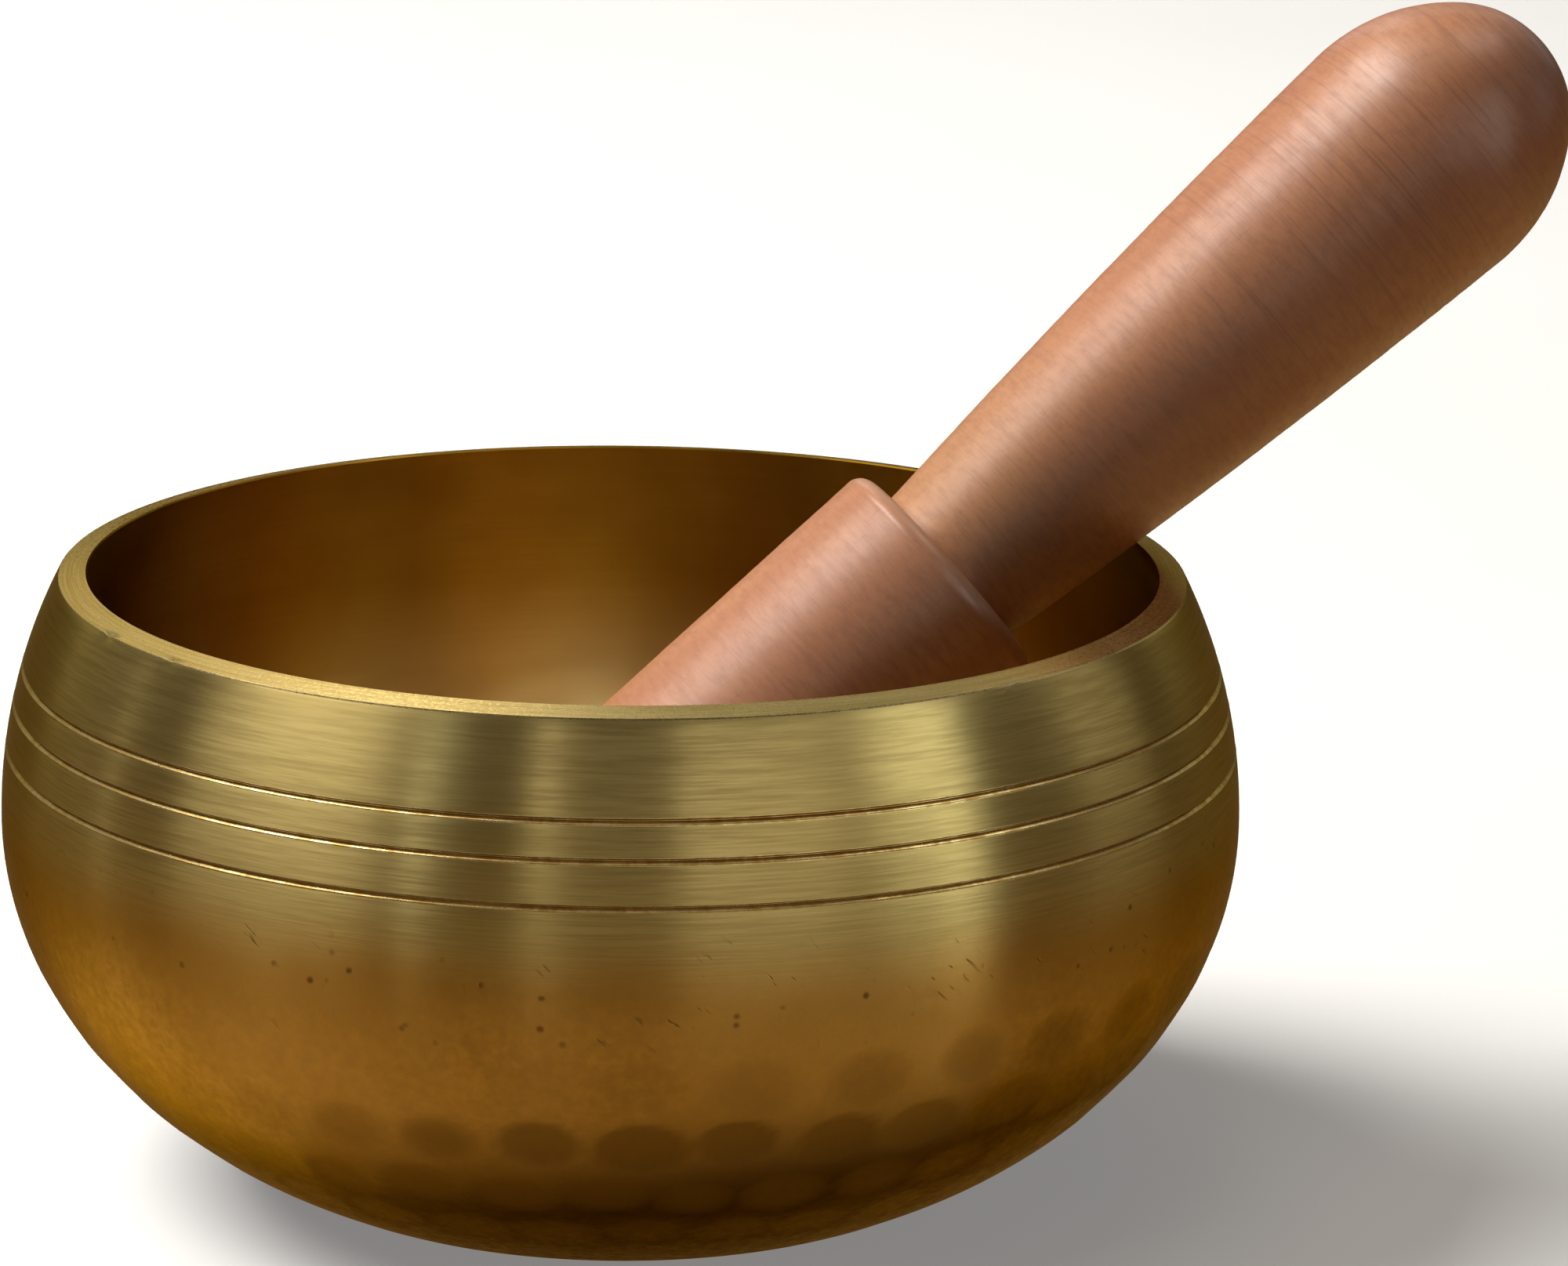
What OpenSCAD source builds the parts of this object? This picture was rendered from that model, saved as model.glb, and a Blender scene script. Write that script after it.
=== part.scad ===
// Brass singing bowl with its wooden mallet resting in it.
// Millimetres, +Z up. The origin is the centre of the bowl's flat foot.

/* [Bowl] */
// Widest diameter, at the belly
bowl_d = 115; // [110:1:120]
// Height from the foot to the top of the rim
bowl_h = 56.9; // [55:0.1:60]
// Height of the belly, where the bowl is widest
belly_h = 34; // [33:0.1:34.5]
// Radius of the arc from the belly up to the rim
upper_arc = 48.8; // [44:0.2:54]
// Width of the quarter ellipse from the belly down towards the foot
lower_reach = 50; // [46:0.5:52]
// Depth of that ellipse below the belly, before the foot cuts it off
lower_drop = 38.5; // [37:0.5:41]
// Depth below the belly of the ellipse inside, before the floor cuts it off
hollow_drop = 34; // [33:0.5:35]
// Thickness of the side wall at the belly
wall_t = 2.2; // [1.6:0.1:3]
// Thickness of the floor
floor_t = 2.8; // [2:0.1:3.4]
// How far the rim's top face falls from its inner to its outer edge
rim_fall = 0.55; // [0.2:0.05:1]
// Chamfer on the rim's inner edge
rim_ease = 0.2; // [0.1:0.05:0.4]

/* [Turned grooves] */
// Depth of each groove's centre below the rim
groove_drop = [8.7, 12, 16]; // [6:0.1:20]
// Width of a groove at the surface
groove_w = 0.5; // [0.3:0.1:1]
// Depth of a groove
groove_depth = 0.3; // [0.2:0.05:0.6]

/* [Mallet head] */
// Length of the striking head
head_len = 68.2; // [65:0.1:70]
// Diameter at the handle end
head_top_d = 24.5; // [23:0.1:26]
// Diameter at the free end
head_tip_d = 23.3; // [22:0.1:25]
// Radius of the rounding at both ends
head_round = 1.7; // [1:0.1:3]

/* [Mallet handle] */
// Length from the head to the end of the knob
handle_len = 74.7; // [72:0.1:75.4]
// Diameter where the handle meets the head
neck_d = 16.9; // [16:0.1:18]
// Diameter of the knob
knob_d = 25.9; // [25:0.1:28]
// Distance from the head to the knob's widest place
knob_at = 58.7; // [58:0.1:61]
// Radius of the long swell from neck to knob
swell_arc = 1000; // [800:50:1400]
// Radius of the arc round the knob's widest place
knob_arc = 18.3; // [17.6:0.1:20]
// Diameter of the tenon inside the head
tenon_d = 10; // [8:0.5:12]
// Length of the tenon
tenon_len = 24; // [18:1:30]

/* [Resting pose] */
// Slope of the mallet above the horizontal, in degrees
lean = 40; // [39:0.1:42]
// Gap left at the two places where the mallet rests
rest_gap = 0.1; // [0.05:0.05:0.3]

/* [Hidden] */
$fn = 160;
// Glue line round the tenon and at its end
glue_gap = 0.05;
// Length by which one cutting shape runs past another
over = 1;

bowl_r = bowl_d / 2;
upper_x = bowl_r - upper_arc;
lower_x = bowl_r - lower_reach;
inner_upper_arc = upper_arc - wall_t;
inner_reach = lower_reach - wall_t;

// Points along an arc about centre, from angle start to angle end
function arc_points(centre, r, start, end, steps) = [
    for (i = [0 : steps])
        let (turn = start + (end - start) * i / steps)
            centre + r * [cos(turn), sin(turn)]
];

// Points up a quarter ellipse, from where it crosses height base to the belly
function ellipse_points(reach, drop, base, steps) = [
    for (i = [0 : steps])
        let (turn = asin((base - belly_h) / drop) * (1 - i / steps))
            [lower_x + reach * cos(turn), belly_h + drop * sin(turn)]
];

// A list without its first item, for an arc that starts where the last one ended
function after_first(list) = [for (i = [1 : len(list) - 1]) list[i]];

// Radius at height z of an arc centred at (x, belly_h)
function arc_r(x, arc, z) = x + sqrt(arc * arc - pow(z - belly_h, 2));

rim_in_r = arc_r(upper_x, inner_upper_arc, bowl_h);
rim_out_r = arc_r(upper_x, upper_arc, bowl_h - rim_fall);

head_top_r = head_top_d / 2;
head_tip_r = head_tip_d / 2;
neck_r = neck_d / 2;
knob_r = knob_d / 2;

// The knob arc is centred past the axis, at (knob_x, knob_at)
knob_x = knob_r - knob_arc;
// The end of the knob is a ball that meets the knob arc tangentially
ball_reach = knob_arc - (handle_len - knob_at);
ball_shift = (knob_x * knob_x - ball_reach * ball_reach) / (2 * ball_reach);
ball_r = handle_len - knob_at - ball_shift;
ball_at = knob_at + ball_shift;
ball_turn = atan2(ball_shift, -knob_x);
// The long swell passes through the neck and meets the knob arc tangentially
swell_step = swell_arc - knob_arc;
neck_reach = norm([neck_r - knob_x, knob_at]);
swell_side = (pow(swell_arc, 2) - pow(swell_step, 2) - pow(neck_reach, 2))
    / (2 * swell_step * neck_reach);
swell_turn = atan2(knob_at, neck_r - knob_x) - acos(swell_side);
swell_x = knob_x - swell_step * cos(swell_turn);
swell_at = knob_at + swell_step * sin(swell_turn);

// The mallet leans in the XZ plane. Its axis crosses the bowl's axis at height
// axis_h, and the head's upper end is axis_run further along the mallet. The two
// follow from the head's lower corner on the floor and the handle on the rim,
// with the handle taken as a cone of slope taper near the rim.
rim_along = 15;
taper = (swell_at - rim_along) / sqrt(pow(swell_arc, 2) - pow(swell_at - rim_along, 2));
handle_r_there = swell_x + sqrt(pow(swell_arc, 2) - pow(swell_at - rim_along, 2));
cone_r = handle_r_there - taper * rim_along;
floor_sum = floor_t + rest_gap + head_round
    + (head_tip_r - head_round) * cos(lean) + (head_len - head_round) * sin(lean);
rim_sum = cone_r + rest_gap + taper * (rim_in_r * cos(lean) + bowl_h * sin(lean))
    - rim_in_r * sin(lean) + bowl_h * cos(lean);
lean_sum = cos(lean) + taper * sin(lean);
axis_run = (floor_sum * lean_sum - rim_sum) / (sin(lean) * lean_sum - taper);
axis_h = floor_sum - axis_run * sin(lean);

module disc_at(x, z, r) {
    translate([x, z]) circle(r);
}

// Band of the half plane between two heights
module band(low, high, reach) {
    translate([0, low]) square([reach, high - low]);
}

// Half section of the bowl filled solid, with an arc above the belly, an ellipse
// below it and a flat base. The ellipse's part runs a little way up into the arc's.
module bowl_section(upper_r, reach, drop, base, top) {
    intersection() {
        disc_at(upper_x, belly_h, upper_r);
        band(belly_h, top, bowl_d);
    }
    polygon(concat(
        [[0, base]],
        ellipse_points(reach, drop, base, 32),
        [[lower_x + reach - over, belly_h + over], [0, belly_h + over]]
    ));
}

// Triangle that cuts one V groove, placed along the upper arc's own radius
module groove_cutter(drop) {
    flare = 1 + over / groove_depth;
    translate([upper_x, belly_h])
        rotate(asin((bowl_h - drop - belly_h) / upper_arc))
            translate([upper_arc - groove_depth, 0])
                polygon([
                    [0, 0],
                    [groove_depth * flare, -groove_w / 2 * flare],
                    [groove_depth * flare, groove_w / 2 * flare],
                ]);
}

// Everything above the sloping rim face and its inner chamfer
module rim_cutter() {
    rim_slope = rim_fall / (rim_out_r - rim_in_r);
    polygon([
        [rim_in_r - over, bowl_h - rim_ease - over],
        [rim_in_r + rim_ease, bowl_h - rim_slope * rim_ease],
        [rim_out_r + over, bowl_h - rim_fall - rim_slope * over],
        [rim_out_r + over, bowl_h + 2 * over],
        [rim_in_r - over, bowl_h + 2 * over],
    ]);
}

module bowl() {
    color("darkgoldenrod")
        rotate_extrude()
            difference() {
                bowl_section(upper_arc, lower_reach, lower_drop, 0, bowl_h);
                bowl_section(inner_upper_arc, inner_reach, hollow_drop, floor_t,
                    bowl_h + over);
                rim_cutter();
                for (drop = groove_drop) groove_cutter(drop);
            }
}

// Places a mallet piece, drawn up the Z axis with the head's upper end at zero
module on_mallet() {
    translate([0, 0, axis_h])
        rotate([0, 90 - lean, 0])
            translate([0, 0, axis_run])
                children();
}

// Half section of the grip: long swell, knob arc and round end
module grip_section() {
    polygon(concat(
        [[0, 0]],
        arc_points([swell_x, swell_at], swell_arc, -asin(swell_at / swell_arc), -swell_turn, 20),
        after_first(arc_points([knob_x, knob_at], knob_arc, -swell_turn, ball_turn, 10)),
        after_first(arc_points([0, ball_at], ball_r, ball_turn, 90, 14))
    ));
}

module mallet_handle() {
    color("sienna")
        on_mallet() {
            rotate_extrude() grip_section();
            translate([0, 0, -tenon_len]) cylinder(h = tenon_len + over, d = tenon_d);
        }
}

// Half section of the head: a slight taper with both ends rounded
module head_section() {
    top = [head_top_r - head_round, -head_round];
    tip = [head_tip_r - head_round, head_round - head_len];
    tilt = atan2(top[0] - tip[0], top[1] - tip[1]);
    polygon(concat(
        [[0, -head_len]],
        arc_points(tip, head_round, -90, -tilt, 8),
        arc_points(top, head_round, -tilt, 90, 8),
        [[0, 0]]
    ));
}

module mallet_head() {
    color("peru")
        on_mallet()
            difference() {
                rotate_extrude() head_section();
                translate([0, 0, -tenon_len - glue_gap])
                    cylinder(h = tenon_len + glue_gap + over, d = tenon_d + 2 * glue_gap);
            }
}

bowl();
mallet_handle();
mallet_head();
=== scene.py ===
"""Looks of the brass singing bowl and its wooden mallet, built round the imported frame.

Metres, +Z up, origin at the centre of the bowl's foot. The mallet leans in the XZ plane.
"""
import math

import bpy
import numpy as np
from mathutils import Matrix, Vector


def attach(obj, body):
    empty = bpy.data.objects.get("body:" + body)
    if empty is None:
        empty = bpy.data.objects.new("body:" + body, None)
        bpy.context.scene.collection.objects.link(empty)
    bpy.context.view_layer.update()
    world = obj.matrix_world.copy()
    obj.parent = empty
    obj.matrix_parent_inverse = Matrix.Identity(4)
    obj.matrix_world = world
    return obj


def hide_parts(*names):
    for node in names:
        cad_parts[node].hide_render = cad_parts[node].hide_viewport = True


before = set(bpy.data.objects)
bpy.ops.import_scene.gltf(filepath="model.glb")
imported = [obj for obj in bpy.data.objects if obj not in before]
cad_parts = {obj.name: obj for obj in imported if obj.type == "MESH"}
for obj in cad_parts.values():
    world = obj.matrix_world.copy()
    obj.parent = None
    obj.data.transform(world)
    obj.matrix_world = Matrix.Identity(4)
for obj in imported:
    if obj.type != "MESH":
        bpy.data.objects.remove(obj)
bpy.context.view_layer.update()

MM = 0.001
SEED = 7
SHARP_ANGLE = 28  # a fold sharper than this many degrees is shaded as an edge

# Bowl section in millimetres: an arc above the belly and an ellipse below it, both sides
BOWL_H, BELLY_H = 56.9, 34.0
UPPER_X, UPPER_ARC = 8.7, 48.8
LOWER_X, LOWER_REACH, LOWER_DROP = 7.5, 50.0, 38.5
WALL_T, FLOOR_T, HOLLOW_DROP = 2.2, 2.8, 34.0
INNER_ARC = UPPER_ARC - WALL_T
INNER_REACH = LOWER_REACH - WALL_T
RIM_FALL, RIM_EASE = 0.55, 0.2
GROOVE_DROPS = (8.7, 12.0, 16.0)
GROOVE_W, GROOVE_DEPTH = 0.5, 0.3
GROOVE_HALF = math.degrees(GROOVE_W / 2 / UPPER_ARC)  # half its width along the arc
BOWL_SEGMENTS = 360

# Mallet section in millimetres along its own axis: the head below zero, the handle above
HEAD_LEN, HEAD_TOP_R, HEAD_TIP_R, HEAD_ROUND = 68.2, 12.25, 11.65, 1.7
HANDLE_LEN, NECK_R, KNOB_R, KNOB_AT = 74.7, 8.45, 12.95, 58.7
SWELL_ARC, KNOB_ARC = 1000.0, 18.3
TENON_R, TENON_LEN, GLUE_GAP = 5.0, 24.0, 0.05
MALLET_SEGMENTS = 180

# The mallet leans LEAN degrees. Its axis crosses the bowl's at height AXIS_H, and the
# head's upper end is AXIS_RUN further along, both in millimetres, as in the CAD source:
# there the head rests on the bowl's floor and the handle on its rim.
LEAN, AXIS_H, AXIS_RUN = 40.0, 28.6421, 40.9551

# The camera stands CAMERA_OUT millimetres from the bowl's axis and CAMERA_UP above its
# foot. Its lens and sensor are in millimetres and its angles in degrees. The mallet
# points MALLET_TURN degrees away from the viewer's right.
CAMERA_OUT, CAMERA_UP = 632.9, 213.8
CAMERA_PITCH, CAMERA_YAW, CAMERA_ROLL = 14.453, 1.350, 0.790
CAMERA_LENS, SENSOR = 162.0, 36.0
MALLET_TURN = 14.35


# ---------------------------------------------------------------- meshes

def arc(cx, cz, r, start, end, steps):
    """Points and outward normals along an arc, angles in degrees."""
    turn = np.radians(np.linspace(start, end, steps + 1))
    normal = np.c_[np.cos(turn), np.sin(turn)]
    return np.c_[cx, cz] + r * normal, normal


def ellipse(reach, drop, start, end, steps):
    """Points and outward normals along the ellipse below the belly, as for an arc."""
    turn = np.radians(np.linspace(start, end, steps + 1))
    points = np.c_[LOWER_X + reach * np.cos(turn), BELLY_H + drop * np.sin(turn)]
    normal = np.c_[np.cos(turn) / reach, np.sin(turn) / drop]
    return points, normal / np.linalg.norm(normal, axis=1)[:, None]


def line(a, b, steps, normal):
    """Points along a straight run that all share one normal."""
    share = np.linspace(0, 1, steps + 1)[:, None]
    points = np.array(a) * (1 - share) + np.array(b) * share
    return points, np.tile(normal, (steps + 1, 1))


class Profile:
    """A half section from axis to axis, with a normal and a region at each point."""

    def __init__(self):
        self.points, self.normals, self.regions = [], [], []

    def add(self, run, region=0, joined=True):
        """Adds a run of points. A joined run starts where the last one ended, and its
        first point is left out."""
        points, normals = run
        start = 1 if joined and self.points else 0
        self.points += list(points[start:])
        self.normals += list(normals[start:])
        self.regions += [region] * (len(points) - start)

    def arrays(self):
        return np.array(self.points), np.array(self.normals), np.array(self.regions)


def angles_round(segments):
    """The angles, in radians, of the columns of a turned mesh."""
    return np.linspace(0, 2 * math.pi, segments, endpoint=False)


def revolve(name, profile, moved):
    """Closed mesh turned from a half section whose first and last points are on the
    axis. moved says how far each point goes along its normal, as rows of profile points
    by columns of angles. The face regions are stored for materials."""
    points, normals, regions = profile
    segments = moved.shape[1]
    turn = angles_round(segments)
    r = points[:, :1] + normals[:, :1] * moved
    z = points[:, 1:] + normals[:, 1:] * moved
    body = np.stack([r * np.cos(turn), r * np.sin(turn), z], -1)[1:-1]
    rows = len(body)
    verts = np.vstack([body.reshape(-1, 3), [0, 0, z[0, 0]], [0, 0, z[-1, 0]]]) * MM
    first, last = rows * segments, rows * segments + 1
    faces, face_regions = [], []
    for j in range(segments):
        k = (j + 1) % segments
        faces.append((first, k, j))
        face_regions.append(regions[1])
        for i in range(rows - 1):
            a, b = i * segments, (i + 1) * segments
            faces.append((a + j, a + k, b + k, b + j))
            face_regions.append(regions[i + 2])
        a = (rows - 1) * segments
        faces.append((a + j, a + k, last))
        face_regions.append(regions[-1])
    mesh = bpy.data.meshes.new(name)
    mesh.from_pydata(verts.tolist(), [], faces)
    mesh.validate()
    mesh.attributes.new("region", "INT", "FACE").data.foreach_set("value", face_regions)
    mesh.polygons.foreach_set("use_smooth", [True] * len(mesh.polygons))
    mesh.set_sharp_from_angle(angle=math.radians(SHARP_ANGLE))
    made = bpy.data.objects.new(name, mesh)
    bpy.context.scene.collection.objects.link(made)
    return made


def set_masks(obj, masks):
    """Stores each mask (profile points by angles) as a float attribute on the vertices."""
    count = len(obj.data.vertices)
    for name, values in masks.items():
        flat = np.zeros(count)
        inner = values[1:-1].ravel()
        flat[: len(inner)] = inner
        flat[-2], flat[-1] = values[0, 0], values[-1, 0]
        obj.data.attributes.new(name, "FLOAT", "POINT").data.foreach_set("value", flat)


def assign(obj, materials):
    """Gives each face the material of its region. materials: region -> material."""
    order = list(dict.fromkeys(materials.values()))
    for material in order:
        obj.data.materials.append(material)
    regions = np.zeros(len(obj.data.polygons), np.int32)
    obj.data.attributes["region"].data.foreach_get("value", regions)
    index = [order.index(materials[int(r)]) for r in regions]
    obj.data.polygons.foreach_set("material_index", index)
    obj.data.attributes.remove(obj.data.attributes["region"])


# ---------------------------------------------------------------- bowl

# Regions of the bowl's surface, each with its own finish
FOOT, HAMMERED, TURNED, GROOVE, RIM, INSIDE = range(6)


def wall_angle(z):
    """Angle on the upper arc of a height on the outside."""
    return math.degrees(math.asin((z - BELLY_H) / UPPER_ARC))


def groove_run(centre_angle):
    """Six points up across one V groove. The tool left a fine lip on its lower side."""
    steps = [(-1.3, -0.01), (-1.04, 0.015), (0.35, -GROOVE_DEPTH), (0.52, -GROOVE_DEPTH),
             (1.0, -0.01), (1.2, -0.01)]
    points, normals = [], []
    for share, depth in steps:
        turn = math.radians(centre_angle + share * GROOVE_HALF)
        normal = np.array([math.cos(turn), math.sin(turn)])
        points.append(np.array([UPPER_X, BELLY_H]) + (UPPER_ARC + depth) * normal)
        normals.append(normal)
    return np.array(points), np.array(normals)


def inner_run():
    """Down the inner ellipse from the belly and across the floor to the axis, with a soft
    corner between them."""
    points, _ = ellipse(INNER_REACH, HOLLOW_DROP, 0, -60, 44)
    soft = 0.5
    r = np.linspace(points[-1, 0], 0, 46)[1:]
    below = BELLY_H - HOLLOW_DROP * np.sqrt(
        1 - (np.maximum(r - LOWER_X, 0) / INNER_REACH) ** 2)
    points = np.vstack([points, np.c_[r, below]])
    z = points[:, 1]
    points[:, 1] = (z + FLOOR_T + np.sqrt((z - FLOOR_T) ** 2 + soft ** 2)) / 2
    step = np.gradient(points, axis=0)
    normals = np.c_[step[:, 1], -step[:, 0]]
    normals[0] = (-1, 0)
    return points, normals / np.linalg.norm(normals, axis=1)[:, None]


def add_underside(p):
    """The flat foot, its eased edge, and the hammered ellipse up to the belly."""
    foot_angle = math.degrees(math.asin(-BELLY_H / LOWER_DROP))
    foot_r = LOWER_X + LOWER_REACH * math.cos(math.radians(foot_angle))
    p.add(line((0, 0), (foot_r - 0.4, 0), 12, (0, -1)), FOOT)
    p.add(line((foot_r - 0.1, 0.02), (foot_r, 0.06), 1, (0.2, -0.98)), FOOT, joined=False)
    p.add(ellipse(LOWER_REACH, LOWER_DROP, foot_angle + 0.5, 0, 62), HAMMERED, joined=False)


def add_turned_wall(p):
    """The arc from the belly up to the rim, in stretches between the grooves."""
    step_length = 0.8
    low = 0.0
    for drop in reversed(GROOVE_DROPS):
        centre = wall_angle(BOWL_H - drop)
        span = GROOVE_HALF * 1.3
        steps = max(2, round(math.radians(centre - span - low) * UPPER_ARC / step_length))
        p.add(arc(UPPER_X, BELLY_H, UPPER_ARC, low, centre - span - 0.1, steps), TURNED)
        p.add(groove_run(centre), GROOVE, joined=False)
        low = centre + span + 0.05
    top = wall_angle(BOWL_H - RIM_FALL) - 0.12
    p.add(arc(UPPER_X, BELLY_H, UPPER_ARC, low, top, 12), TURNED, joined=False)


def add_rim(p):
    """The sloping top of the wall, with a fine bevel at its outer edge and a chamfer at
    its inner one."""
    bevel = 0.12
    rim_out = UPPER_X + math.sqrt(UPPER_ARC ** 2 - (BOWL_H - RIM_FALL - BELLY_H) ** 2)
    rim_in = UPPER_X + math.sqrt(INNER_ARC ** 2 - (BOWL_H - BELLY_H) ** 2)
    slope = RIM_FALL / (rim_out - rim_in)
    up = np.array([slope, 1]) / math.hypot(slope, 1)
    outer = (rim_out - bevel, BOWL_H - RIM_FALL + slope * bevel)
    inner = (rim_in + RIM_EASE, BOWL_H - slope * RIM_EASE)
    p.add(line(outer, inner, 10, up), RIM, joined=False)


def bowl_profile():
    """The half section from the middle of the foot round to the middle of the floor."""
    p = Profile()
    add_underside(p)
    add_turned_wall(p)
    add_rim(p)
    inner_top = math.degrees(math.asin((BOWL_H - RIM_EASE - BELLY_H) / INNER_ARC))
    points, normals = arc(UPPER_X, BELLY_H, INNER_ARC, inner_top, 0, 26)
    p.add((points, -normals), INSIDE, joined=False)
    p.add(inner_run(), INSIDE)
    return p.arrays()


def waves(angles, count_low, count_high, rng, spread):
    """A smooth closed random curve over the angles, about spread high."""
    total = np.zeros_like(angles)
    for n in range(count_low, count_high + 1):
        total += rng.normal() * np.cos(n * angles + rng.uniform(0, 2 * math.pi))
    return spread * total / math.sqrt(count_high - count_low + 1)


def angles_from(azimuth, angles):
    """The angles counted from an azimuth in degrees, up to half a turn either way."""
    return (angles - math.radians(azimuth) + math.pi) % (2 * math.pi) - math.pi


# Rows of hammer marks: height, degrees between marks, first mark, half width, half height,
# depth, azimuth of the full blows, and the share of their force left on the far side.
# Lengths here are in millimetres, and azimuths in degrees from the viewer's side.
HAMMER_ROWS = (
    (18.0, 9.4, 1.9, 4.3, 2.9, 0.32, 24, 0.12),
    (12.0, 9.7, -1.5, 4.2, 2.4, 0.17, 0, 0.40),
    (6.8, 10.6, 3.0, 3.9, 2.0, 0.10, 0, 0.5),
    (24.4, 10.6, 23.0, 4.2, 3.2, 0.14, 44, 0.0))

# Rings of peening inside: distance from the axis along the section, half width and depth
PEEN_RINGS = (
    (5, 2.6, 0.05), (11, 3.2, 0.08), (17.5, 3.6, 0.10), (24.5, 3.8, 0.10), (32, 3.8, 0.08),
    (40, 3.6, 0.06), (48, 3.6, 0.06), (56, 3.6, 0.07), (63, 3.4, 0.07), (69.5, 3.2, 0.03))
PEEN_SHARE = 0.8  # the share of that depth still left after scraping

# Knocks on the rim: azimuth from the viewer's side, half width and depth
RIM_KNOCKS = (
    (-61.5, 0.55, 0.22), (-49.5, 0.35, 0.12), (40.2, 0.4, 0.16), (118.0, 0.5, 0.15))
RIM_R = 52.0  # about the radius of the rim's outer edge

# How far the finished wall and the wood's skin stay inside the CAD surface
MARGIN, WOOD_MARGIN = 0.04, 0.03
SWIRL = 0.042  # half the height of the scraper's swirls
SWIRL_PITCH = 21.0  # each swirl winds one radian in this length along the section
UPPER_RISE = 23.0  # about the height of the wall above the belly
FULLY_SHADED_DENT = 0.16  # a mark this deep has the full painted shade


def row_of_dents(rng, height, step, phase, wide, tall, depth, heavy, light):
    """Hammer marks round the bowl with a hand's unevenness, each as (azimuth, height,
    half width, half height, depth). The blows were full at azimuth heavy, and on the
    far side they fall to the share light."""
    dents = []
    count = round(360 / step)
    for n in range(count):
        azimuth = phase + 360 * n / count + rng.uniform(-0.7, 0.7)
        near = (0.5 + 0.5 * math.cos(math.radians(azimuth - heavy))) ** 8
        force = (light + (1 - light) * near) * rng.uniform(0.75, 1.2)
        size = rng.uniform(0.9, 1.08)
        dents.append((azimuth, height + rng.uniform(-0.4, 0.4), wide * size,
                      tall * size, depth * force))
    return dents


def dent_field(angles, radius, along, dents):
    """How deep the dents are at each point: flat-bottomed ovals with soft edges."""
    depth = np.zeros((len(along), len(angles)))
    for azimuth, height, half_w, half_h, deep in dents:
        across = angles_from(azimuth, angles)[None, :] * radius[:, None] / half_w
        up = (along[:, None] - height) / half_h
        inside = np.clip(1 - across ** 2 - up ** 2, 0, 1)
        depth = np.maximum(depth, deep * inside ** 0.8 * (1.4 - 0.4 * inside))
    return depth


def outer_dents(rng):
    """The hammer marks below the belly."""
    front = camera_azimuth()
    dents = []
    for height, step, phase, wide, tall, depth, heavy, light in HAMMER_ROWS:
        dents += row_of_dents(rng, height, step, front + phase, wide, tall, depth,
                              front + heavy, light)
    return dents


def inner_dents(rng):
    """The peening marks inside, over the floor and up the wall. Their heights are
    counted along the section from the axis."""
    marks = []
    for ring, size, deep in PEEN_RINGS:
        count = max(6, round(2 * math.pi * min(ring, 36) / (2.2 * size)))
        for n in range(count):
            azimuth = 360 * (n + rng.uniform(-0.3, 0.3)) / count
            marks.append((azimuth, ring + rng.uniform(-1.2, 1.2), size, size * 0.85,
                          deep * rng.uniform(0.4, 1.25)))
    return marks


def inside_relief(points, regions, turn, rng):
    """Depth of the peening, and height of the long swirls left by the scraper. Both are
    on the floor and the lower wall."""
    r, z = points.T
    lower = (regions == INSIDE) & (z < BELLY_H)
    length = np.r_[0, np.cumsum(np.hypot(*np.diff(points, axis=0).T))]
    along = length[-1] - length
    peen = dent_field(turn, np.maximum(r, 0.5), along, inner_dents(rng)) * lower[:, None]
    arm = turn[None, :] + along[:, None] / SWIRL_PITCH
    swirl = sum(np.cos(n * arm + rng.uniform(0, 6.3)) for n in (7, 11, 16, 23)) / 4
    fade = np.clip(along / 6, 0, 1) * np.clip((76 - along) / 20, 0, 1) * lower
    return peen * PEEN_SHARE, SWIRL * swirl * fade[:, None]


def rim_knocks(turn):
    """Depth round the bowl of the small knocks on the rim's outer edge."""
    depth = np.zeros(len(turn))
    for azimuth, wide, deep in RIM_KNOCKS:
        off = angles_from(camera_azimuth() + azimuth, turn)
        depth = np.maximum(depth, deep * np.exp(-(off * RIM_R / wide) ** 2))
    return depth


def make_bowl():
    """The whole bowl as one closed shell."""
    profile = bowl_profile()
    points, _, regions = profile
    r, z = points.T
    hammered, turned, grooved = (regions == part for part in (HAMMERED, TURNED, GROOVE))
    rng = np.random.default_rng(SEED)
    turn = angles_round(BOWL_SEGMENTS)

    dents = dent_field(turn, r, z, outer_dents(rng)) * hammered[:, None]
    peen, swirl = inside_relief(points, regions, turn, rng)
    moved = -dents - peen + swirl

    # Slight unevenness of the wall, which also leans in a little above the belly
    sway = waves(turn, 3, 9, rng, 0.010) + waves(turn, 14, 40, rng, 0.0016)
    lean = np.minimum(waves(turn, 2, 6, rng, 0.008), 0)
    inward = np.minimum(sway, MARGIN / 2) - MARGIN
    rise = np.clip((z - BELLY_H) / UPPER_RISE, -1, 1)
    wall = (hammered & (z >= 1)) | grooved | turned
    moved[wall] += inward[None, :] + rise[wall][:, None] * lean[None, :]

    # Ragged depth along each groove
    bottom = grooved & (np.hypot(r - UPPER_X, z - BELLY_H) < UPPER_ARC - 0.1)
    moved[bottom] += waves(turn, 30, 90, rng, 0.015)[None, :]

    # The strip on both sides of the rim's outer edge
    edge = ((regions == RIM) & (r > RIM_R - 0.4)) | (turned & (z > BOWL_H - 0.7))
    moved[edge] -= rim_knocks(turn)[None, :]

    obj = revolve("bowl_shell", profile, moved)
    # the masks steer painted shade in the hammer marks and along the groove bottoms, and the
    # paler gold of the scraper's swirls
    set_masks(obj, {"dent": np.clip(dents / FULLY_SHADED_DENT, 0, 1),
                    "scrape": np.clip(0.5 + swirl / 0.06, 0, 1),
                    "groove_shade": np.where(bottom, 1.0, 0.0)[:, None] * np.ones(len(turn))})
    return obj


# ---------------------------------------------------------------- mallet

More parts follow.
